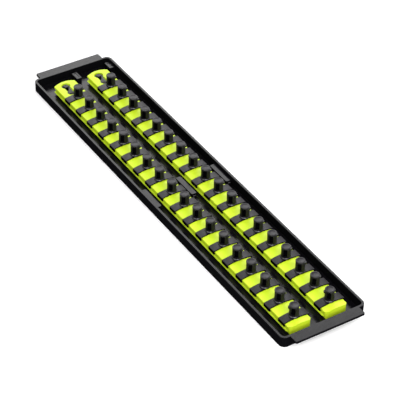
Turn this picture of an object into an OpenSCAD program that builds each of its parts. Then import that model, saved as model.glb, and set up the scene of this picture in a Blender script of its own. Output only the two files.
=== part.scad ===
// Socket organiser tray: an open tray with two crowned rails and eighteen
// sliding socket clips on each rail.
// Millimetres. X runs along the tray, Y across it, Z up. The origin is the
// centre of the underside.

/* [Tray] */
// length over the end walls, without the lips
tray_l = 464.4; // [464:0.1:470]
// width over the side walls
tray_w = 90.8; // [89:0.1:96]
// height of the rim
tray_h = 11.3; // [10.5:0.1:12.5]
// thickness of the walls
wall_t = 2.5; // [2:0.1:2.6]
// thickness of the floor
floor_t = 2; // [1.6:0.1:2]
// radius of the upright outer corners
corner_r = 6; // [4:0.5:9]
// how far each end lip stands out from its wall
lip_out = 9.1; // [6:0.1:12]
// width of each end lip
lip_w = 74.5; // [60:0.5:76]
// thickness of the end lips
lip_t = 2.4; // [1.8:0.1:3]

/* [Floor details] */
// length of the middle guide bars
bar_l = 30.5; // [24:0.5:36]
// width of the guide bars
bar_w = 5.7; // [4:0.1:5.9]
// height of the guide bars above the ground
bar_top = 8; // [7:0.1:9]
// length of the pads at the far end
pad_l = 12.5; // [9:0.5:12.5]
// radius of the head of the rail pegs
peg_head_r = 2.9; // [2.6:0.1:2.9]
// radius of the stem of the rail pegs
peg_stem_r = 1.6; // [1.2:0.1:1.6]

/* [Rails] */
// distance between the centre lines of the two rails
rail_spacing = 39; // [38:0.1:41]
// X of the far corners of the rails
rail_far = -211.1; // [-212:0.1:-210.6]
// how far the middle of the far end bulges past its corners
far_bulge = 2.4; // [2:0.1:2.6]
// X of the near end of the rails
rail_near = 222.6; // [222.2:0.1:226]
// width of the crowned top
rail_w = 24.4; // [24:0.1:24.4]
// height of the middle of the crown
crown_z = 11.6; // [11.6:0.1:11.8]
// how much lower the edges of the crown are
crown_drop = 1.2; // [1:0.1:1.5]
// height of the underside of the crowned top at its edges
edge_under_z = 9; // [8.8:0.1:9.1]
// width of the ledge along the foot
ledge_w = 25.3; // [24.8:0.1:25.4]
// height of the top of the ledge
ledge_top = 5.2; // [4.9:0.1:6]
// width of the web between ledge and top
web_w = 23.4; // [22:0.1:23.4]
// width of the foot below the ledge
foot_w = 22; // [21:0.1:22.4]
// gap between the rail and the tray floor
rail_lift = 0.1; // [0.05:0.05:0.2]
// how far the rail slides to let go of its peg
key_travel = 12.8; // [12:0.1:13]

/* [Clips] */
// clips on each rail
clip_count = 18; // [18:1:18]
// distance from one clip to the next
clip_pitch = 23.1; // [23:0.01:23.1]
// X of the first clip on the left rail
clip_first_left = -181.4; // [-182.3:0.1:-181.2]
// X of the first clip on the right rail
clip_first_right = -182.3; // [-182.3:0.1:-181.2]
// length of a clip saddle along the rail
clip_l = 9.4; // [8.5:0.1:10]
// width of a clip saddle over its legs
clip_w = 27.2; // [26.6:0.1:27.6]
// radius of the post head
head_r = 4.7; // [4.65:0.05:4.8]
// height of the top of the post above the ground
post_top = 24.7; // [23.5:0.1:25.5]
// radius of the collar at the foot of the post
collar_r = 5.3; // [5.1:0.1:5.4]

/* [Hidden] */

e = 0.01;
inner_l = tray_l - 2 * wall_t;
inner_w = tray_w - 2 * wall_t;
inner_r = corner_r - wall_t;
end_x = tray_l / 2 + lip_out;
bar_x = -1.8;
pad_x = -220.75;
side_y = 39.4;
// rail section
rail_y = rail_spacing / 2;
half_w = rail_w / 2;
crown_r = (half_w * half_w + crown_drop * crown_drop) / (2 * crown_drop);
crown_c = crown_z - crown_r;
edge_soft = 0.35;
rail_base = rail_lift + floor_t;
ledge_t = 1;
plate_t = 2.2;
hollow_w = 19.6;
end_wall = 1.5;
// rail ends
far_r = (half_w * half_w + far_bulge * far_bulge) / (2 * far_bulge);
tip_x = rail_far - far_bulge;
near_clip = 1.9;
ledge_far = rail_far + 0.5;
ledge_near = rail_near - 3.1;
web_far = rail_far + 1.7;
// keyhole at the far end
key_y = -1.7;
peg_x = -205.4;
hole_x = peg_x + key_travel;
peg_top = 11.4;
seat_r = 4.8;
mouth_r = 4.6;
tab_z = 4.6;
tab_t = 1.2;
tab_reach = 5;
gap = 0.3;
slot_r = peg_stem_r + gap;
// clip saddle and post
saddle_t = 1.4;
saddle_top = crown_z + saddle_t;
saddle_r = crown_r + saddle_t;
leg_foot = 7.8;
post_r = 4.5;
head_t = 1.5;
neck_t = 0.4;
head_z = post_top - head_t;
body_top = head_z - neck_t;
collar_t = 0.9;
// two upright slots in the post, and a nub beside the head
slot_turn = -52;
post_slot_w = 3.6;
post_slot_in = 1.9;
nub_turn = 60;
nub_h = 2.6;
nub_r = 1.3;

function clip_x(i, first) = first + (i - 1) * clip_pitch;

// block with rounded upright edges
module rounded_block(l, w, h, r) {
  translate([-l / 2 + r, -w / 2, 0]) cube([l - 2 * r, w, h]);
  translate([-l / 2, -w / 2 + r, 0]) cube([l, w - 2 * r, h]);
  for (sx = [-1, 1], sy = [-1, 1])
    translate([sx * (l / 2 - r), sy * (w / 2 - r), 0]) cylinder(h = h, r = r, $fn = 48);
}

// flat lip with clipped corners at one end, sign +1 or -1
module lip(sign) {
  c = 1.6;
  x0 = sign * (tray_l / 2 - 1);
  x1 = sign * end_x;
  x2 = sign * (end_x - c);
  translate([0, 0, tray_h - lip_t])
    linear_extrude(height = lip_t)
      polygon([[x0, -lip_w / 2], [x2, -lip_w / 2], [x1, -lip_w / 2 + c],
        [x1, lip_w / 2 - c], [x2, lip_w / 2], [x0, lip_w / 2]]);
}

// tee-shaped guide bar standing on the floor, w0 and w1 are its sides in Y
module guide_bar(w0, w1) {
  mid = (w0 + w1) / 2;
  translate([bar_x - bar_l / 2, w0, bar_top - 1.7]) cube([bar_l, w1 - w0, 1.7]);
  translate([bar_x - bar_l / 2 + 0.8, mid - 1.3, floor_t - e])
    cube([bar_l - 1.6, 2.6, bar_top - floor_t - 1]);
  translate([bar_x + bar_l / 2 - 1, mid - 2.4, floor_t - e]) cube([3, 3.2, bar_top - floor_t - 1.2]);
}

// pad with a shallow hollow in its top
module pad(w0, w1) {
  difference() {
    translate([pad_x - pad_l / 2, w0, floor_t - e]) cube([pad_l, w1 - w0, 6.3]);
    translate([pad_x - pad_l / 2 + 2.2, w0 + 1.6, floor_t + 5.8]) cube([pad_l - 4.4, w1 - w0 - 3.2, 1]);
  }
}

// peg that holds the far end of one rail, its head stands above the retaining tab
module peg(y) {
  cap_z = tab_z + tab_t + gap;
  translate([peg_x, y, floor_t - e]) cylinder(h = cap_z - floor_t + 2 * e, r = peg_stem_r, $fn = 32);
  translate([peg_x, y, cap_z]) cylinder(h = peg_top - 0.4 - cap_z, r = peg_head_r, $fn = 40);
  translate([peg_x, y, peg_top - 0.4 - e])
    cylinder(h = 0.4 + e, r1 = peg_head_r, r2 = peg_head_r - 0.4, $fn = 40);
}

module tray() {
  color([0.055, 0.055, 0.06]) {
    difference() {
      union() {
        translate([0, 0, 0.8]) rounded_block(tray_l, tray_w, tray_h - 0.8, corner_r);
        rounded_block(tray_l - 1.2, tray_w - 1.2, 0.8 + e, corner_r - 0.6);
        lip(1);
        lip(-1);
      }
      translate([0, 0, floor_t]) rounded_block(inner_l, inner_w, tray_h, inner_r);
    }
    guide_bar(-bar_w / 2, bar_w / 2);
    guide_bar(side_y - bar_w / 2, inner_w / 2 + 0.5);
    guide_bar(-inner_w / 2 - 0.5, -side_y + bar_w / 2);
    pad(-2.9, 2.9);
    pad(side_y - 2.9, inner_w / 2 + 0.5);
    peg(rail_y + key_y);
    peg(-rail_y + key_y);
  }
}

// long half-round bar under the crown's arc, radius r
module crown_round(r) {
  translate([tip_x - 3, 0, crown_c])
    rotate([0, 90, 0]) cylinder(h = rail_near - tip_x + 5, r = r, $fn = 180);
}

// straight bar of the rail, w wide, from x0 to x1 and z0 to z1
module strip(w, x0, x1, z0, z1) {
  translate([x0, -w / 2, z0]) cube([x1 - x0, w, z1 - z0]);
}

// outer form of the rail, its far end still square
module rail_section() {
  x0 = tip_x - 1;
  difference() {
    intersection() {
      crown_round(crown_r);
      strip(rail_w, x0, rail_near, edge_under_z, crown_z + 1);
    }
    // softened long edges
    for (s = [-1, 1])
      translate([x0 - 1, s * half_w, crown_z - crown_drop])
        rotate([-s * 38, 0, 0])
          translate([0, -3, -edge_soft]) cube([rail_near - x0 + 2, 6, 3]);
  }
  strip(web_w, web_far, rail_near, ledge_top - ledge_t, edge_under_z + 1);
  strip(ledge_w, ledge_far, ledge_near, ledge_top - ledge_t, ledge_top);
  strip(foot_w, web_far, rail_near, rail_base, ledge_top);
}

// keyhole of two round ends and a slot, from z0 up: half width of the slot, seat and mouth radius
module keyhole(slot, seat, mouth, z0) {
  translate([peg_x, key_y, z0]) cylinder(h = 20, r = seat, $fn = 60);
  translate([hole_x, key_y, z0]) cylinder(h = 20, r = mouth, $fn = 60);
  translate([peg_x, key_y - slot, z0]) cube([key_travel, 2 * slot, 20]);
}

// one rail on its own centre line
module rail_body() {
  difference() {
    rail_section();
    // hollow underneath, with a retaining tab beside the peg
    difference() {
      intersection() {
        crown_round(crown_r - plate_t);
        strip(hollow_w, rail_far + end_wall, rail_near - 4, 0, crown_z);
      }
      translate([rail_far, -hollow_w / 2 - 1, tab_z])
        cube([peg_x + tab_reach - rail_far, hollow_w / 2 + 1 + key_y - slot_r, tab_t]);
    }
    keyhole(peg_head_r + gap, seat_r, mouth_r, edge_under_z - 1);
    // far end, bowed outward
    difference() {
      strip(rail_w + 4, tip_x - 2, rail_far + 0.3, 0, crown_z + 1);
      translate([tip_x + far_r, 0, -1]) cylinder(h = crown_z + 3, r = far_r, $fn = 180);
    }
    // near corners, clipped
    for (s = [-1, 1])
      translate([rail_near - near_clip, s * half_w, -1])
        rotate([0, 0, -s * 45]) translate([-4, s > 0 ? 0 : -6, 0]) cube([14, 6, crown_z + 3]);
  }
}

module rail_left() {
  color([0.76, 0.9, 0.06]) translate([0, -rail_y, 0]) rail_body();
}

module rail_right() {
  color([0.76, 0.9, 0.06]) translate([0, rail_y, 0]) rail_body();
}

// bar along X of length l, centred, under the arc of radius r about the crown's centre
module arc_bar(l, r) {
  translate([-l / 2, 0, crown_c]) rotate([0, 90, 0]) cylinder(h = l, r = r, $fn = 180);
}

// saddle and post of one clip, centred on its rail, at x = 0
module clip_body() {
  // saddle, bent over the crown, with hooked legs
  difference() {
    intersection() {
      arc_bar(clip_l, saddle_r);
      translate([-clip_l / 2, -clip_w / 2, leg_foot]) cube([clip_l, clip_w, saddle_top]);
    }
    intersection() {
      arc_bar(clip_l + 2, crown_r + gap);
      translate([-clip_l / 2 - 1, -half_w - gap, edge_under_z - gap])
        cube([clip_l + 2, rail_w + 2 * gap, 12]);
    }
    translate([-clip_l / 2 - 1, -web_w / 2 - gap, 0]) cube([clip_l + 2, web_w + 2 * gap, edge_under_z]);
  }
  // collar, post and neck, with two slots
  difference() {
    union() {
      translate([0, 0, saddle_top - 0.6]) cylinder(h = 0.6 + collar_t - 0.5, r = collar_r, $fn = 48);
      translate([0, 0, saddle_top + collar_t - 0.5 - e])
        cylinder(h = 0.5 + e, r1 = collar_r, r2 = collar_r - 0.5, $fn = 48);
      translate([0, 0, saddle_top]) cylinder(h = body_top - saddle_top, r = post_r, $fn = 48);
      translate([0, 0, body_top - e]) cylinder(h = neck_t + 2 * e, r = post_r - 0.4, $fn = 48);
    }
    for (turn = [slot_turn, slot_turn + 180])
      rotate([0, 0, turn])
        translate([post_slot_in, -post_slot_w / 2, saddle_top + collar_t + 0.2])
          cube([post_r, post_slot_w, post_top]);
  }
  // head
  translate([0, 0, head_z]) cylinder(h = head_t - 0.3, r = head_r, $fn = 48);
  translate([0, 0, post_top - 0.3 - e]) cylinder(h = 0.3 + e, r1 = head_r, r2 = head_r - 0.3, $fn = 48);
  // nub
  rotate([0, 0, nub_turn])
    translate([post_r - 0.2, 0, body_top - nub_h]) cylinder(h = nub_h, r = nub_r, $fn = 24);
}

// clip number i of the left rail, the last one is fitted the other way round
module left_clip(i) {
  color([0.075, 0.075, 0.08])
    translate([clip_x(i, clip_first_left), -rail_y, 0])
      rotate([0, 0, i == clip_count ? 180 : 0]) clip_body();
}

// clip number i of the right rail
module right_clip(i) {
  color([0.075, 0.075, 0.08])
    translate([clip_x(i, clip_first_right), rail_y, 0])
      rotate([0, 0, i == clip_count ? 180 : 0]) clip_body();
}

module clip_left_01() {
  left_clip(1);
}

module clip_left_02() {
  left_clip(2);
}

module clip_left_03() {
  left_clip(3);
}

module clip_left_04() {
  left_clip(4);
}

module clip_left_05() {
  left_clip(5);
}

module clip_left_06() {
  left_clip(6);
}

module clip_left_07() {
  left_clip(7);
}

module clip_left_08() {
  left_clip(8);
}

module clip_left_09() {
  left_clip(9);
}

module clip_left_10() {
  left_clip(10);
}

module clip_left_11() {
  left_clip(11);
}

module clip_left_12() {
  left_clip(12);
}

module clip_left_13() {
  left_clip(13);
}

module clip_left_14() {
  left_clip(14);
}

module clip_left_15() {
  left_clip(15);
}

module clip_left_16() {
  left_clip(16);
}

module clip_left_17() {
  left_clip(17);
}

module clip_left_18() {
  left_clip(18);
}

module clip_right_01() {
  right_clip(1);
}

module clip_right_02() {
  right_clip(2);
}

module clip_right_03() {
  right_clip(3);
}

module clip_right_04() {
  right_clip(4);
}

module clip_right_05() {
  right_clip(5);
}

module clip_right_06() {
  right_clip(6);
}

module clip_right_07() {
  right_clip(7);
}

module clip_right_08() {
  right_clip(8);
}

module clip_right_09() {
  right_clip(9);
}

module clip_right_10() {
  right_clip(10);
}

module clip_right_11() {
  right_clip(11);
}

module clip_right_12() {
  right_clip(12);
}

module clip_right_13() {
  right_clip(13);
}

module clip_right_14() {
  right_clip(14);
}

module clip_right_15() {
  right_clip(15);
}

module clip_right_16() {
  right_clip(16);
}

module clip_right_17() {
  right_clip(17);
}

module clip_right_18() {
  right_clip(18);
}

tray();
rail_left();
rail_right();
clip_left_01();
clip_left_02();
clip_left_03();
clip_left_04();
clip_left_05();
clip_left_06();
clip_left_07();
clip_left_08();
clip_left_09();
clip_left_10();
clip_left_11();
clip_left_12();
clip_left_13();
clip_left_14();
clip_left_15();
clip_left_16();
clip_left_17();
clip_left_18();
clip_right_01();
clip_right_02();
clip_right_03();
clip_right_04();
clip_right_05();
clip_right_06();
clip_right_07();
clip_right_08();
clip_right_09();
clip_right_10();
clip_right_11();
clip_right_12();
clip_right_13();
clip_right_14();
clip_right_15();
clip_right_16();
clip_right_17();
clip_right_18();
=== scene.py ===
"""Socket organiser tray: a black open tray with two yellow-green rails of sliding socket clips."""
import math

import bmesh
import bpy
from mathutils import Matrix, Vector


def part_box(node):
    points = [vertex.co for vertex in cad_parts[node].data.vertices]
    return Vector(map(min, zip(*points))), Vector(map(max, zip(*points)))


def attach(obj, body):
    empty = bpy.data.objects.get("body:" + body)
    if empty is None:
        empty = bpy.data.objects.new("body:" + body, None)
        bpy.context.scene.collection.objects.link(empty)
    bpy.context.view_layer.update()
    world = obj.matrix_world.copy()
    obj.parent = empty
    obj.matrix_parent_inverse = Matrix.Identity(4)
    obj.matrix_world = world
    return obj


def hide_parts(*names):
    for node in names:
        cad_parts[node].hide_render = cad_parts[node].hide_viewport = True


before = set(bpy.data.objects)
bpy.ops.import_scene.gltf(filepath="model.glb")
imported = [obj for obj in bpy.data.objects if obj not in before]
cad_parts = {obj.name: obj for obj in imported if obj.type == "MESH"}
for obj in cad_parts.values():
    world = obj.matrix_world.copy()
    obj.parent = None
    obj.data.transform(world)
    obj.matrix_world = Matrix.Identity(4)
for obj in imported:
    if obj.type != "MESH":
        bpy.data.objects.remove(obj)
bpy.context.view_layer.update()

MM = 0.001
SIDES = ("left", "right")
CLIPS = 18

# ---------------------------------------------------------------- sizes in millimetres
# boxes of the CAD nodes that the pieces here stand for
TRAY_LO, TRAY_HI = (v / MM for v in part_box("tray"))
RAIL_LO, RAIL_HI = (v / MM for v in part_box("rail_right"))
CLIP_LO, CLIP_HI = (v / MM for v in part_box("clip_right_01"))

# tray: lips, rim and walls
LIP_OUT = 9.1
LIP_W = 74.5
LIP_T = 2.4
LIP_ROOT = 1.2
LIP_TURN_R = 1.8
LIP_EDGE_R = 0.35
TRAY_L = TRAY_HI.x - TRAY_LO.x - 2 * LIP_OUT
TRAY_W = TRAY_HI.y - TRAY_LO.y
RIM_Z = 11.3
WALL_T = 2.5
FLOOR_Z = 2.0
CORNER_R = 6.0
DRAFT = 0.1
HEEL_R = 0.5
RIM_R = 0.3
FILLET_R = 0.5
INNER_DRAFT = 0.35

# what stands on the tray's floor: guide bars, pads and pegs
ROOT = 0.5
BAR_X = -1.8
BAR_L = 30.5
BAR_W = 5.7
BAR_TOP = 8.0
BAR_HEAD_T = 1.7
BAR_STEM_W = 2.6
SIDE_Y = 39.4
WALL_OVERLAP = 0.8
PAD_X = -220.75
PAD_L = 12.5
PAD_W = 5.8
PAD_TOP = 8.29
PAD_HOLLOW = 0.49

# rails: crown, web, ledges and foot
RAIL_Y = (RAIL_LO.y + RAIL_HI.y) / 2
TIP_X = RAIL_LO.x
RAIL_NEAR = RAIL_HI.x
RAIL_BASE = RAIL_LO.z
FAR_BULGE = 2.4
RAIL_FAR = TIP_X + FAR_BULGE
TOP_W = 24.4
CROWN_Z = 11.6
CROWN_DROP = 1.2
EDGE_R = 0.8
EDGE_UNDER_Z = 9.0
WEB_W = 23.4
WEB_FAR = RAIL_FAR + 1.7
LEDGE_W = RAIL_HI.y - RAIL_LO.y
LEDGE_TOP = 5.2
LEDGE_T = 1.0
LEDGE_FAR = RAIL_FAR + 0.5
LEDGE_NEAR = RAIL_NEAR - 3.1
FOOT_W = 22.0
PLATE_T = 2.2
HOLLOW_W = 19.6
CROWN_R = (TOP_W * TOP_W / 4 + CROWN_DROP * CROWN_DROP) / (2 * CROWN_DROP)
CROWN_C = CROWN_Z - CROWN_R
NEAR_R = 4.0

# keyhole, peg and retaining tab
KEY_Y = -1.7
PEG_X = -205.4
KEY_TRAVEL = 12.8
PEG_TOP = 11.4
PEG_HEAD_R = 2.9
PEG_STEM_R = 1.6
SEAT_R = 4.8
MOUTH_R = 4.6
TAB_LOW = 4.6
TAB_TOP = 5.8
TAB_REACH = 5.0

# clips: saddle, post, head and nub; turns are in degrees from +X
CLIP_L = 9.4
CLIP_W = CLIP_HI.y - CLIP_LO.y
SADDLE_T = 1.4
SADDLE_TOP = CROWN_Z + SADDLE_T
SADDLE_R = CROWN_R + SADDLE_T
LEG_FOOT = CLIP_LO.z
GAP = 0.3
POST_TOP = CLIP_HI.z
HEAD_T = 1.5
NECK_T = 0.4
BODY_TOP = POST_TOP - HEAD_T - NECK_T
POST_R = 4.5
HEAD_R = 4.7
COLLAR_R = 5.3
COLLAR_T = 0.9
SLOT_W = 3.6
SLOT_IN = 1.9
SLOT_TURN = -43
NUB_TURN = 60
NUB_R = 1.3
NUB_H = 2.6


# ---------------------------------------------------------------- mesh helpers
def new_mesh(name, verts, faces):
    """A mesh from points in millimetres."""
    mesh = bpy.data.meshes.new(name)
    mesh.from_pydata([(x * MM, y * MM, z * MM) for x, y, z in verts], [], faces)
    bm = bmesh.new()
    bm.from_mesh(mesh)
    bmesh.ops.remove_doubles(bm, verts=bm.verts, dist=1e-6)
    bmesh.ops.recalc_face_normals(bm, faces=bm.faces)
    bm.to_mesh(mesh)
    bm.free()
    return mesh


def new_object(name, mesh):
    obj = bpy.data.objects.new(name, mesh)
    bpy.context.scene.collection.objects.link(obj)
    return obj


def skin(rings, cap_first=True, cap_last=True):
    """Points and faces of a skin over rings that have the same number of points."""
    count = len(rings[0])
    verts = [p for ring in rings for p in ring]
    faces = []
    for r in range(len(rings) - 1):
        a, b = r * count, (r + 1) * count
        for i in range(count):
            j = (i + 1) % count
            faces.append((a + i, a + j, b + j, b + i))
    if cap_first:
        faces.append(tuple(range(count))[::-1])
    if cap_last:
        last = (len(rings) - 1) * count
        faces.append(tuple(range(last, last + count)))
    return verts, faces


def round_rect(length, width, radius, z, centre, steps):
    """A ring round a rectangle with rounded corners."""
    ring = []
    corners = ((1, 1, 0), (-1, 1, 90), (-1, -1, 180), (1, -1, 270))
    for sx, sy, start in corners:
        cx = centre[0] + sx * (length / 2 - radius)
        cy = centre[1] + sy * (width / 2 - radius)
        for i in range(steps + 1):
            a = math.radians(start + 90 * i / steps)
            ring.append((cx + radius * math.cos(a), cy + radius * math.sin(a), z))
    return ring


def extrude_x(outline, x0, x1):
    """A closed outline in Y and Z, drawn out along X."""
    return skin([[(x, y, z) for y, z in outline] for x in (x0, x1)])


def extrude_z(outline, z0, z1):
    """A closed outline in X and Y, drawn out along Z."""
    return skin([[(x, y, z) for x, y in outline] for z in (z0, z1)])


def arc(cy, cz, radius, a0, a1, steps):
    """Points of an arc, angles in degrees from +Y towards +Z."""
    points = []
    for i in range(steps + 1):
        a = math.radians(a0 + (a1 - a0) * i / steps)
        points.append((cy + radius * math.cos(a), cz + radius * math.sin(a)))
    return points


def rounded(corners, steps):
    """A closed outline with its corners rounded; each corner is (a, b, radius)."""
    points = []
    count = len(corners)
    for i, (x, y, radius) in enumerate(corners):
        p = Vector((x, y))
        if radius == 0:
            points.append((x, y))
            continue
        before = (Vector(corners[i - 1][:2]) - p).normalized()
        after = (Vector(corners[(i + 1) % count][:2]) - p).normalized()
        reach = radius / math.tan(before.angle(after) / 2)
        start, end = p + before * reach, p + after * reach
        for k in range(steps + 1):
            t = k / steps
            q = start * (1 - t) ** 2 + p * 2 * t * (1 - t) + end * t * t
            points.append((q.x, q.y))
    return points


def bevel_sharp(mesh, width, angle):
    """Rounds every edge that is sharper than an angle in degrees, width in millimetres."""
    bm = bmesh.new()
    bm.from_mesh(mesh)
    edges = [
        e for e in bm.edges
        if len(e.link_faces) == 2 and e.calc_face_angle(0) > math.radians(angle)
    ]
    bmesh.ops.bevel(
        bm, geom=edges, offset=width * MM, segments=2, profile=0.6,
        affect="EDGES", clamp_overlap=True,
    )
    bm.to_mesh(mesh)
    bm.free()


def combine(obj, others, operation):
    """Joins or cuts other objects into obj, and removes them."""
    for other in others:
        mod = obj.modifiers.new("combine", "BOOLEAN")
        mod.operation = operation
        mod.solver = "EXACT"
        mod.object = other
    apply_modifiers(obj)
    for other in others:
        bpy.data.objects.remove(other)


def apply_modifiers(obj):
    """Turns an object's modifiers into its mesh."""
    bpy.context.view_layer.update()
    graph = bpy.context.evaluated_depsgraph_get()
    mesh = bpy.data.meshes.new_from_object(obj.evaluated_get(graph))
    mesh.name = obj.name
    obj.modifiers.clear()
    obj.data = mesh


def add_mesh(obj, mesh):
    """Adds another closed mesh to an object's mesh."""
    bm = bmesh.new()
    bm.from_mesh(obj.data)
    bm.from_mesh(mesh)
    bm.to_mesh(obj.data)
    bm.free()
    bpy.data.meshes.remove(mesh)


def smooth(obj, angle):
    """Smooth shading, kept crisp where faces meet at more than an angle."""
    mesh = obj.data
    for poly in mesh.polygons:
        poly.use_smooth = True
    mesh.set_sharp_from_angle(angle=math.radians(angle))
    mod = obj.modifiers.new("weighted", "WEIGHTED_NORMAL")
    mod.keep_sharp = True
    mod.weight = 60


# ---------------------------------------------------------------- materials
def node_tree(name):
    """A new material with its nodes, links and main shader."""
    mat = bpy.data.materials.new(name)
    mat.use_nodes = True
    nodes = mat.node_tree.nodes
    return mat, nodes, mat.node_tree.links, nodes["Principled BSDF"]


def noise(nodes, links, coords, scale, detail, rough):
    """A noise texture in the object's own coordinates."""
    tex = nodes.new("ShaderNodeTexNoise")
    tex.inputs["Scale"].default_value = scale
    tex.inputs["Detail"].default_value = detail
    tex.inputs["Roughness"].default_value = rough
    links.new(coords.outputs["Object"], tex.inputs["Vector"])
    return tex


def spread(nodes, links, source, low, high):
    """Maps the middle of a texture's range to low..high."""
    node = nodes.new("ShaderNodeMapRange")
    node.inputs["From Min"].default_value = 0.3
    node.inputs["From Max"].default_value = 0.7
    node.inputs["To Min"].default_value = low
    node.inputs["To Max"].default_value = high
    links.new(source.outputs["Fac"], node.inputs["Value"])
    return node


def colour_ramp(nodes, links, source, stops):
    """Colours a texture's value; each stop is (place, colour)."""
    node = nodes.new("ShaderNodeValToRGB")
    ramp = node.color_ramp
    while len(ramp.elements) < len(stops):
        ramp.elements.new(0.5)
    for element, (place, colour) in zip(ramp.elements, stops):
        element.position = place
        element.color = (*colour, 1)
    links.new(source.outputs["Fac"], node.inputs["Fac"])
    return node


def relief(nodes, links, source, shader, strength, depth):
    """Gives a shader the bumps of a texture, depth in millimetres."""
    bump = nodes.new("ShaderNodeBump")
    bump.inputs["Strength"].default_value = strength
    bump.inputs["Distance"].default_value = depth * MM
    links.new(source.outputs["Fac"], bump.inputs["Height"])
    links.new(bump.outputs["Normal"], shader.inputs["Normal"])


def moulded_black(name, grain, rough, dark, pale, bump, level):
    """Black moulded plastic with a spark-eroded grain and slightly uneven gloss."""
    mat, nodes, links, shader = node_tree(name)
    coords = nodes.new("ShaderNodeTexCoord")
    fine = noise(nodes, links, coords, grain, 2.0, 0.6)
    broad = noise(nodes, links, coords, 55, 4.0, 0.55)
    tint = colour_ramp(nodes, links, fine, [(0.35, dark), (0.68, pale)])
    links.new(tint.outputs["Color"], shader.inputs["Base Color"])
    gloss = spread(nodes, links, broad, rough - 0.05, rough + 0.06)
    links.new(gloss.outputs["Result"], shader.inputs["Roughness"])
    relief(nodes, links, fine, shader, bump, 0.12)
    shader.inputs["IOR"].default_value = 1.46
    shader.inputs["Specular IOR Level"].default_value = level
    return mat


def rail_green(name):
    """Bright yellow-green plastic with faint flow marks along the rail."""
    mat, nodes, links, shader = node_tree(name)
    coords = nodes.new("ShaderNodeTexCoord")
    fine = noise(nodes, links, coords, 900, 2.0, 0.5)
    stretch = nodes.new("ShaderNodeMapping")
    stretch.inputs["Scale"].default_value = (0.25, 1.0, 1.0)
    links.new(coords.outputs["Object"], stretch.inputs["Vector"])
    flow = nodes.new("ShaderNodeTexNoise")
    flow.inputs["Scale"].default_value = 120
    flow.inputs["Detail"].default_value = 4
    links.new(stretch.outputs["Vector"], flow.inputs["Vector"])
    tint = colour_ramp(
        nodes, links, flow,
        [(0.3, (0.57, 0.78, 0.012)), (0.7, (0.63, 0.82, 0.018))],
    )
    links.new(tint.outputs["Color"], shader.inputs["Base Color"])
    gloss = spread(nodes, links, flow, 0.48, 0.58)
    links.new(gloss.outputs["Result"], shader.inputs["Roughness"])
    relief(nodes, links, fine, shader, 0.25, 0.08)
    shader.inputs["Specular IOR Level"].default_value = 0.65
    return mat


BLACK_TRAY = moulded_black(
    "tray_plastic", 1500, 0.14, (0.0025, 0.0024, 0.0034), (0.006, 0.0055, 0.007), 0.6, 0.25)
# painted shade: a darker copy of the tray plastic with no reflection, for the upright faces and
# the foot of the walls
SHADED_WALL_BLACK = moulded_black(
    "tray_wall_painted_shade", 1500, 0.8, (0.002, 0.002, 0.0025), (0.005, 0.005, 0.006), 0.4, 0.0)
BLACK_CLIP = moulded_black(
    "clip_plastic", 1300, 0.34, (0.003, 0.0025, 0.004), (0.012, 0.010, 0.014), 0.8, 0.42)
BLACK_POST = moulded_black(
    "clip_post_plastic", 1300, 0.5, (0.005, 0.005, 0.005), (0.010, 0.010, 0.009), 0.4, 0.16)
# painted shade: a darker, non-reflecting copy of the clip plastic for the slot and the upright
# faces under the saddle
SHADED_CLIP_BLACK = moulded_black(
    "clip_painted_shade_plastic", 1300, 0.8, (0.001, 0.001, 0.0015), (0.003, 0.003, 0.004), 0.3, 0.0)
# painted highlight: a lighter, more reflective copy of the clip plastic for the sloped chamfers of
# collar and head
GLINT_CLIP_BLACK = moulded_black(
    "clip_edge_painted_highlight", 1300, 0.3, (0.006, 0.006, 0.007), (0.012, 0.012, 0.013), 0.3, 0.9)
GREEN_RAIL = rail_green("rail_plastic")

# places in each piece's list of materials: the tray's walls, which get painted shade, and the
# parts of a clip, among which the slot part is painted shade and the edge part a painted highlight
WALL_SHADE_INDEX = 1
SADDLE_INDEX = 0
POST_INDEX = 1
CLIP_SHADE_INDEX = 2
CLIP_GLINT_INDEX = 3


def dress(obj, materials):
    """Gives an object its materials."""
    obj.data.materials.clear()
    for material in materials:
        obj.data.materials.append(material)


# ---------------------------------------------------------------- tray
def shell_rings():
    """Rings from the underside, up the outer wall, over the rim and down to the floor."""
    def ring(inset, z):
        radius = max(CORNER_R - inset, 1.2)
        return round_rect(TRAY_L - 2 * inset, TRAY_W - 2 * inset, radius, z, (0, 0), 10)

    def bend(angles, radius, inset, inwards, z, upwards):
        """Rings round a bend, from an upright face at 0 degrees to a level one at 90."""
        turns = [math.radians(a) for a in angles]
        return [
            ring(
                inset + inwards * radius * (1 - math.cos(t)),
                z + upwards * radius * (1 - math.sin(t)),
            )
            for t in turns
        ]

    foot = WALL_T + INNER_DRAFT
    rings = [ring(DRAFT + 1.5, 0), ring(DRAFT + HEEL_R, 0)]
    rings += bend((65, 40, 15), HEEL_R, DRAFT, 1, 0, 1)
    rings += [ring(DRAFT, HEEL_R), ring(0.02, RIM_Z - RIM_R)]
    rings += bend((25, 50, 75, 90), RIM_R, 0, 1, RIM_Z, -1)
    rings += bend((90, 65, 40, 15), RIM_R, WALL_T, -1, RIM_Z, -1)
    rings += [ring(WALL_T + 0.02, RIM_Z - RIM_R * 1.2), ring(foot, FLOOR_Z + FILLET_R)]
    rings += bend((25, 50, 75, 90), FILLET_R, foot, 1, FLOOR_Z, 1)
    rings.append(ring(foot + FILLET_R + 0.6, FLOOR_Z))
    return rings


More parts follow.
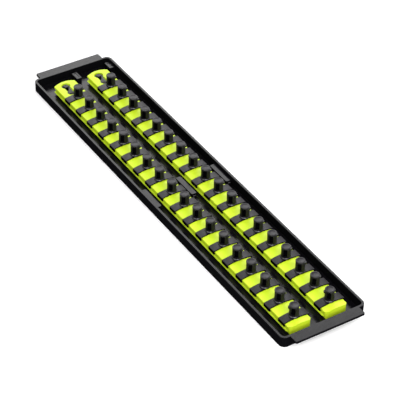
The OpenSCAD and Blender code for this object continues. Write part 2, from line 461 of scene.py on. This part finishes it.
def lip_object(sign):
    """The lip at one end; its outer and side edges are rounded, its root is in the wall."""
    inner = sign * (TRAY_L / 2 - LIP_ROOT)
    outer = sign * (TRAY_L / 2 + LIP_OUT)
    half = LIP_W / 2
    corners = [
        (inner, -half, 0), (outer, -half, LIP_TURN_R), (outer, half, LIP_TURN_R), (inner, half, 0),
    ]
    mesh = new_mesh("lip", *extrude_z(rounded(corners, 5), RIM_Z - LIP_T, RIM_Z))
    bm = bmesh.new()
    bm.from_mesh(mesh)
    edges = []
    for e in bm.edges:
        away = all(abs(v.co.x) > (TRAY_L / 2 - 0.6) * MM for v in e.verts)
        level = abs(e.verts[0].co.z - e.verts[1].co.z) < 1e-6
        side = any(abs(abs(v.co.y) - half * MM) < 1e-6 for v in e.verts)
        if level and (away or side) and e.calc_face_angle(0) > 0.6:
            edges.append(e)
    bmesh.ops.bevel(
        bm, geom=edges, offset=LIP_EDGE_R * MM, segments=3, profile=0.5, affect="EDGES")
    bm.to_mesh(mesh)
    bm.free()
    return new_object("lip", mesh)


def block(x0, x1, y0, y1, z0, z1, bevel, corner):
    """A small moulded block: corner rounds its upright edges, bevel the others."""
    corners = [(x0, y0, corner), (x1, y0, corner), (x1, y1, corner), (x0, y1, corner)]
    mesh = new_mesh("block", *extrude_z(rounded(corners, 3), z0, z1))
    bevel_sharp(mesh, bevel, 50)
    return mesh


def guide_bar(y0, y1):
    """A tee-shaped bar, and the small block at its near end."""
    mid = (y0 + y1) / 2
    low = FLOOR_Z - ROOT
    stem = BAR_STEM_W / 2
    x0, x1 = BAR_X - BAR_L / 2, BAR_X + BAR_L / 2
    return [
        block(x0, x1, y0, y1, BAR_TOP - BAR_HEAD_T, BAR_TOP, 0.3, 1.6),
        block(x0 + 0.8, x1 - 0.8, mid - stem, mid + stem, low, BAR_TOP - 1.5, 0.35, 0.8),
        block(x1 - 1.0, x1 + 2.0, mid - 2.4, mid + 0.8, low, BAR_TOP - 1.2, 0.25, 0.4),
    ]


def pad(y0, y1):
    """A pad with a shallow hollow in its top."""
    centre = (PAD_X, (y0 + y1) / 2)
    width = y1 - y0
    rings = [
        round_rect(PAD_L, width, 0.7, FLOOR_Z - ROOT, centre, 3),
        round_rect(PAD_L, width, 0.7, PAD_TOP - 0.35, centre, 3),
        round_rect(PAD_L - 0.2, width - 0.2, 0.6, PAD_TOP - 0.1, centre, 3),
        round_rect(PAD_L - 0.6, width - 0.6, 0.5, PAD_TOP, centre, 3),
        round_rect(PAD_L - 4.0, width - 2.9, 0.5, PAD_TOP, centre, 3),
        round_rect(PAD_L - 4.4, width - 3.2, 0.4, PAD_TOP - 0.12, centre, 3),
        round_rect(PAD_L - 4.6, width - 3.4, 0.4, PAD_TOP - PAD_HOLLOW, centre, 3),
    ]
    return new_mesh("pad", *skin(rings))


def lathe(profile, centre, steps):
    """A turned mesh from (radius, height) pairs."""
    rings = []
    for radius, z in profile:
        ring = []
        for i in range(steps):
            a = 2 * math.pi * i / steps
            ring.append((centre[0] + radius * math.cos(a), centre[1] + radius * math.sin(a), z))
        rings.append(ring)
    return skin(rings)


def rail_peg(y):
    """The mushroom peg under one rail's keyhole."""
    head = TAB_TOP + GAP
    r, stem = PEG_HEAD_R, PEG_STEM_R
    profile = [
        (stem + 0.5, FLOOR_Z - 0.4), (stem + 0.3, FLOOR_Z + 0.1), (stem, FLOOR_Z + 0.5),
        (stem, head), (r - 0.15, head), (r, head + 0.15), (r, PEG_TOP - 0.45),
        (r - 0.1, PEG_TOP - 0.2), (r - 0.3, PEG_TOP - 0.04), (r - 0.5, PEG_TOP),
        (1.0, PEG_TOP), (0.9, PEG_TOP - 0.12),
    ]
    return new_mesh("peg", *lathe(profile, (PEG_X, y), 40))


def make_tray():
    """The whole tray, one moulding; its upright faces and the faces near the floor get a darker
    copy of its plastic without reflection, which is painted shade.
    """
    shell = new_object("tray_shell", new_mesh("tray_shell", *skin(shell_rings())))
    combine(shell, [lip_object(1), lip_object(-1)], "UNION")
    in_wall = TRAY_W / 2 - WALL_T + WALL_OVERLAP
    parts = guide_bar(-BAR_W / 2, BAR_W / 2)
    parts += guide_bar(SIDE_Y - BAR_W / 2, in_wall)
    parts += guide_bar(-in_wall, -SIDE_Y + BAR_W / 2)
    parts += [pad(-PAD_W / 2, PAD_W / 2), pad(SIDE_Y - PAD_W / 2, in_wall)]
    parts += [rail_peg(y + KEY_Y) for y in (RAIL_Y, -RAIL_Y)]
    for mesh in parts:
        add_mesh(shell, mesh)
    dress(shell, [BLACK_TRAY, SHADED_WALL_BLACK])
    # painted shade: upright faces and faces just above the floor get the darker, non-reflecting
    # copy
    for poly in shell.data.polygons:
        foot = FLOOR_Z + 0.01 < poly.center.z / MM < FLOOR_Z + 1.2
        upright = abs(poly.normal.z) < 0.35
        if upright or foot:
            poly.material_index = WALL_SHADE_INDEX
    smooth(shell, 32)
    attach(shell, "tray")
    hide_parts("tray")


# ---------------------------------------------------------------- rails
def crown_height(y):
    """The height of the crown's arc at a distance from the rail's centre line."""
    return CROWN_C + math.sqrt(CROWN_R ** 2 - y * y)


def mirrored(right, top):
    """A closed outline from its right side, going up, and the arc over it."""
    return right + top + [(-y, z) for y, z in reversed(right)]


def rail_outline():
    """The rail's section: foot, web and crowned top, without the ledges."""
    edge, web, foot = TOP_W / 2, WEB_W / 2, FOOT_W / 2
    under = LEDGE_TOP - LEDGE_T
    bend_y = edge - EDGE_R
    bend_z = crown_height(bend_y) - EDGE_R
    a = math.degrees(math.acos(bend_y / CROWN_R))
    right = [
        (foot - 0.3, RAIL_BASE), (foot, RAIL_BASE + 0.3), (foot, under), (web, under),
        (web, EDGE_UNDER_Z - 0.2), (web + 0.2, EDGE_UNDER_Z), (edge - 0.2, EDGE_UNDER_Z),
        (edge, EDGE_UNDER_Z + 0.2),
    ]
    right += arc(bend_y, bend_z, EDGE_R, 0, 78, 6)
    return mirrored(right, arc(0, CROWN_C, CROWN_R, a, 180 - a, 48))


def ledge_outline(sign):
    """The section of the ledge along one side of the foot."""
    web, out = WEB_W / 2 - 0.6, LEDGE_W / 2
    low = LEDGE_TOP - LEDGE_T
    corners = [
        (web, low, 0), (out, low, 0.2), (out, LEDGE_TOP - 0.5, 0.1),
        (out - 0.4, LEDGE_TOP, 0.1), (web, LEDGE_TOP, 0),
    ]
    return [(sign * y, z) for y, z in rounded(corners, 4)]


def plan_outline():
    """The rail seen from above: a bowed far end and a near end with rounded corners."""
    half = TOP_W / 2
    wide = half + 1
    far_r = (half ** 2 + FAR_BULGE ** 2) / (2 * FAR_BULGE)
    a = math.degrees(math.asin(wide / far_r))
    bow = arc(TIP_X + far_r, 0, far_r, 180 - a, 180 + a, 40)
    x, y = RAIL_NEAR - NEAR_R, half - NEAR_R
    lower = [(x, -wide)] + arc(x, -y, NEAR_R, -90, 0, 10)
    upper = arc(x, y, NEAR_R, 0, 90, 10) + [(x, wide)]
    return bow + lower + upper


def cutter(verts, faces):
    """An object that is joined to, cut from or crossed with a rail, and then removed."""
    return new_object("cutter", new_mesh("cutter", verts, faces))


def box_cutter(x0, x1, y0, y1, z0, z1):
    corners = [(x0, y0), (x1, y0), (x1, y1), (x0, y1)]
    return cutter(*extrude_z(corners, z0, z1))


def hollow_cutters():
    """The hollow under the crown, with a retaining tab beside the peg."""
    half = HOLLOW_W / 2
    radius = CROWN_R - PLATE_T
    a = math.degrees(math.acos(half / radius))
    roof = arc(0, CROWN_C, radius, a, 180 - a, 16)
    far, near = RAIL_FAR + 1.5, RAIL_NEAR - 4
    stop = PEG_X + TAB_REACH
    tab_y = KEY_Y - PEG_STEM_R - GAP
    below, overlap = 1.0, 0.1
    return [
        cutter(*extrude_x([(half, below)] + roof + [(-half, below)], stop, near)),
        cutter(*extrude_x(
            [(half, TAB_TOP)] + roof + [(-half, TAB_TOP)], far, stop + overlap)),
        box_cutter(far, stop + overlap, -half, half, below, TAB_LOW),
        box_cutter(far, stop + 2 * overlap, tab_y, half, below, TAB_TOP + overlap),
    ]


def keyhole_cutters():
    """The keyhole through the crown: a seat over the peg, a mouth and the neck between."""
    hole_x = PEG_X + KEY_TRAVEL
    low, top = 7.0, CROWN_Z + 2
    neck = PEG_HEAD_R + GAP
    return [
        cutter(*lathe([(SEAT_R, low), (SEAT_R, top)], (PEG_X, KEY_Y), 64)),
        cutter(*lathe([(MOUTH_R, low), (MOUTH_R, top)], (hole_x, KEY_Y), 64)),
        box_cutter(PEG_X, hole_x, KEY_Y - neck, KEY_Y + neck, low, top),
    ]


def make_rail(side):
    """One rail, made on the tray's centre line and then moved to its side."""
    y = RAIL_Y if side == "right" else -RAIL_Y
    rail = new_object(
        f"rail_{side}_crown",
        new_mesh("rail", *extrude_x(rail_outline(), TIP_X - 1, RAIL_NEAR + 1)))
    clear = 14
    under_tip = box_cutter(TIP_X - 2, WEB_FAR, -clear, clear, 1, EDGE_UNDER_Z)
    combine(rail, [under_tip], "DIFFERENCE")
    ledges = [cutter(*extrude_x(ledge_outline(sign), LEDGE_FAR, LEDGE_NEAR)) for sign in (-1, 1)]
    combine(rail, ledges, "UNION")
    combine(rail, [cutter(*extrude_z(plan_outline(), 1, CROWN_Z + 1))], "INTERSECT")
    combine(rail, hollow_cutters(), "DIFFERENCE")
    combine(rail, keyhole_cutters(), "DIFFERENCE")
    dress(rail, [GREEN_RAIL])
    rail.location = (0, y * MM, 0)
    bevel = rail.modifiers.new("soft_edges", "BEVEL")
    bevel.width = 0.25 * MM
    bevel.segments = 2
    bevel.limit_method = "ANGLE"
    bevel.angle_limit = math.radians(38)
    smooth(rail, 32)
    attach(rail, f"rail_{side}")
    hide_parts(f"rail_{side}")


# ---------------------------------------------------------------- clips
def saddle_mesh():
    """The bent saddle with its hooked legs."""
    half = CLIP_W / 2
    soft = 0.5
    bend_y = half - soft
    bend_z = CROWN_C + math.sqrt(SADDLE_R ** 2 - bend_y ** 2) - soft
    a = math.degrees(math.acos(bend_y / SADDLE_R))
    outer = arc(0, CROWN_C, SADDLE_R, a, 180 - a, 40)
    inner_half = TOP_W / 2 + GAP
    inner_r = CROWN_R + GAP
    b = math.degrees(math.acos(inner_half / inner_r))
    inner = arc(0, CROWN_C, inner_r, 180 - b, b, 40)
    hook = WEB_W / 2 + GAP
    right = [
        (inner_half, EDGE_UNDER_Z - GAP), (hook, EDGE_UNDER_Z - GAP), (hook, LEG_FOOT + 0.25),
        (hook + 0.25, LEG_FOOT), (half - 0.3, LEG_FOOT), (half, LEG_FOOT + 0.3),
    ]
    right += arc(bend_y, bend_z, soft, 0, 78, 5)
    mesh = new_mesh(
        "saddle", *extrude_x(mirrored(right, outer) + inner, -CLIP_L / 2, CLIP_L / 2))
    bevel_sharp(mesh, 0.25, 50)
    return mesh


def post_mesh():
    """The collar, the slotted post, the neck and the round head."""
    foot = SADDLE_TOP
    head = POST_TOP - HEAD_T
    profile = [
        (COLLAR_R, foot - 0.6), (COLLAR_R, foot + 0.2), (COLLAR_R - 0.5, foot + COLLAR_T),
        (POST_R, foot + COLLAR_T + 0.05), (POST_R, BODY_TOP - 0.2), (POST_R - 0.2, BODY_TOP),
        (POST_R - 0.4, BODY_TOP + 0.1), (POST_R - 0.4, head), (HEAD_R - 0.15, head),
        (HEAD_R, head + 0.15), (HEAD_R, POST_TOP - 0.4), (HEAD_R - 0.15, POST_TOP - 0.15),
        (HEAD_R - 0.5, POST_TOP), (HEAD_R - 1.4, POST_TOP),
        (HEAD_R - 1.5, POST_TOP - 0.05), (0.6, POST_TOP - 0.08),
    ]
    post = new_object("post", new_mesh("post", *lathe(profile, (0, 0), 96)))
    slots = []
    for turn in (0, 180):
        slot = box_cutter(
            SLOT_IN, POST_R + 2, -SLOT_W / 2, SLOT_W / 2, foot + 1.1, BODY_TOP + NECK_T)
        slot.rotation_euler = (0, 0, math.radians(SLOT_TURN + turn))
        slots.append(slot)
    combine(post, slots, "DIFFERENCE")
    mesh = post.data
    bpy.data.objects.remove(post)
    bevel_sharp(mesh, 0.15, 60)
    return mesh


def nub_mesh():
    """A small rounded nub beside the post, under the head."""
    low = BODY_TOP - NUB_H
    profile = [
        (NUB_R - 0.4, low), (NUB_R - 0.1, low + 0.2), (NUB_R, low + 0.6),
        (NUB_R, BODY_TOP - 0.3), (NUB_R - 0.3, BODY_TOP), (0.5, BODY_TOP),
    ]
    turn = math.radians(NUB_TURN)
    reach = POST_R - 0.2
    centre = (reach * math.cos(turn), reach * math.sin(turn))
    return new_mesh("nub", *lathe(profile, centre, 24))


def clip_material(poly):
    """Which of the clip's materials a face has, from its place and its slope; the slot and the
    upright faces under the saddle's top get painted shade, the sloped chamfers a painted
    highlight.
    """
    x, y, z = (v / MM for v in poly.center)
    radius = math.hypot(x, y)
    # painted highlight: sloped faces above the saddle, outside the post, get the glossier, lighter
    # copy
    if 0.3 < poly.normal.z < 0.9 and radius > POST_R and z > SADDLE_TOP:
        return CLIP_GLINT_INDEX
    if abs(poly.normal.z) > 0.5:
        return SADDLE_INDEX
    # painted shade: upright faces below the saddle's top and inside the slot get the darkest copy
    if z < SADDLE_TOP - 0.1:
        return CLIP_SHADE_INDEX
    if z > SADDLE_TOP + 0.95:
        in_slot = radius < POST_R - 0.35 and z < BODY_TOP
        return CLIP_SHADE_INDEX if in_slot else POST_INDEX
    return SADDLE_INDEX


def clip_model():
    """The clip that all others copy, made at the origin."""
    model = new_object("clip_model", saddle_mesh())
    add_mesh(model, post_mesh())
    add_mesh(model, nub_mesh())
    dress(model, [BLACK_CLIP, BLACK_POST, SHADED_CLIP_BLACK, GLINT_CLIP_BLACK])
    for poly in model.data.polygons:
        poly.material_index = clip_material(poly)
    smooth(model, 34)
    return model


def make_clips():
    """All clips; the last one of each rail is fitted the other way round."""
    model = clip_model()
    for side in SIDES:
        for number in range(1, CLIPS + 1):
            node = f"clip_{side}_{number:02d}"
            low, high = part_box(node)
            clip = model.copy()
            clip.name = f"{node}_saddle"
            bpy.context.scene.collection.objects.link(clip)
            clip.location = ((low.x + high.x) / 2, (low.y + high.y) / 2, 0)
            if number == CLIPS:
                clip.rotation_euler = (0, 0, math.pi)
            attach(clip, node)
            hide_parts(node)
    bpy.data.objects.remove(model)


# ---------------------------------------------------------------- camera, light and floor
def make_camera():
    """The photograph's view, from a camera fitted to the tray's edges."""
    azimuth, elevation, roll = (math.radians(v) for v in (57.328, 38.236, 1.079))
    distance = 1.746746
    shift_right, shift_up = 0.012656, -0.007079
    focal_px = 1797.604
    frame_px = 400
    back = Vector((
        math.sin(azimuth) * math.cos(elevation),
        -math.cos(azimuth) * math.cos(elevation),
        math.sin(elevation),
    ))
    level = Vector((math.cos(azimuth), math.sin(azimuth), 0))
    above = back.cross(level)
    right = level * math.cos(roll) + above * math.sin(roll)
    up = above * math.cos(roll) - level * math.sin(roll)
    data = bpy.data.cameras.new("camera")
    data.sensor_width = 36
    data.lens = focal_px * data.sensor_width / frame_px
    data.clip_start = 0.01
    data.clip_end = 100
    camera = bpy.data.objects.new("camera", data)
    bpy.context.scene.collection.objects.link(camera)
    turn = Matrix((right, up, back)).transposed().to_4x4()
    place = back * distance + right * shift_right + up * shift_up
    camera.matrix_world = Matrix.Translation(place) @ turn
    bpy.context.scene.camera = camera


def white_floor():
    """A wide white floor that keeps the tray's shadow."""
    size = 12.0
    mesh = bpy.data.meshes.new("floor")
    corners = [(-size, -size, 0), (size, -size, 0), (size, size, 0), (-size, size, 0)]
    mesh.from_pydata(corners, [], [(0, 1, 2, 3)])
    floor = new_object("floor", mesh)
    mat = bpy.data.materials.new("floor_white")
    mat.use_nodes = True
    nodes, links = mat.node_tree.nodes, mat.node_tree.links
    nodes.clear()
    out = nodes.new("ShaderNodeOutputMaterial")
    diffuse = nodes.new("ShaderNodeBsdfDiffuse")
    diffuse.inputs["Color"].default_value = (0.92, 0.92, 0.92, 1)
    glow = nodes.new("ShaderNodeEmission")
    glow.inputs["Color"].default_value = (1, 1, 1, 1)
    path = nodes.new("ShaderNodeLightPath")

    def maths(operation, first, second=None):
        node = nodes.new("ShaderNodeMath")
        node.operation = operation
        links.new(first, node.inputs[0])
        if second:
            links.new(second, node.inputs[1])
        return node

    seen = maths("MAXIMUM", path.outputs["Is Camera Ray"], path.outputs["Is Glossy Ray"])
    seen = maths("MAXIMUM", seen.outputs[0], path.outputs["Is Transmission Ray"])
    strength = maths("MULTIPLY", seen.outputs[0])
    strength.inputs[1].default_value = 0.16
    links.new(strength.outputs[0], glow.inputs["Strength"])
    both = nodes.new("ShaderNodeAddShader")
    links.new(diffuse.outputs[0], both.inputs[0])
    links.new(glow.outputs[0], both.inputs[1])
    links.new(both.outputs[0], out.inputs["Surface"])
    mesh.materials.append(mat)


def area_light(name, place, size, power, size_y=None):
    """A soft lamp aimed at the origin; with size_y it is a rectangle."""
    data = bpy.data.lights.new(name, "AREA")
    data.energy = power
    data.size = size
    if size_y:
        data.shape = "RECTANGLE"
        data.size_y = size_y
    lamp = bpy.data.objects.new(name, data)
    bpy.context.scene.collection.objects.link(lamp)
    lamp.location = place
    lamp.rotation_mode = "QUATERNION"
    lamp.rotation_quaternion = (-Vector(place)).to_track_quat("-Z", "Y")


def make_light():
    """Soft lamps round the tray, in metres and watts, and a pale world."""
    world = bpy.data.worlds.new("studio")
    bpy.context.scene.world = world
    world.use_nodes = True
    background = world.node_tree.nodes["Background"]
    background.inputs["Color"].default_value = (1, 1, 1, 1)
    background.inputs["Strength"].default_value = 0.35
    area_light("front_softbox", (1.56, -0.24, 1.24), 1.5, 40)
    area_light("left_softbox", (0.40, -1.54, 1.24), 1.5, 16)
    area_light("right_softbox", (0.30, 1.60, 1.25), 1.3, 13)
    area_light("top_softbox", (-0.2, 0.2, 1.95), 1.2, 5)
    area_light("back_card", (-2.16, 1.10, 1.76), 1.95, 30, 1.3)


make_camera()
white_floor()
make_light()
make_tray()
for side in SIDES:
    make_rail(side)
make_clips()

bpy.context.scene.view_settings.view_transform = "Standard"
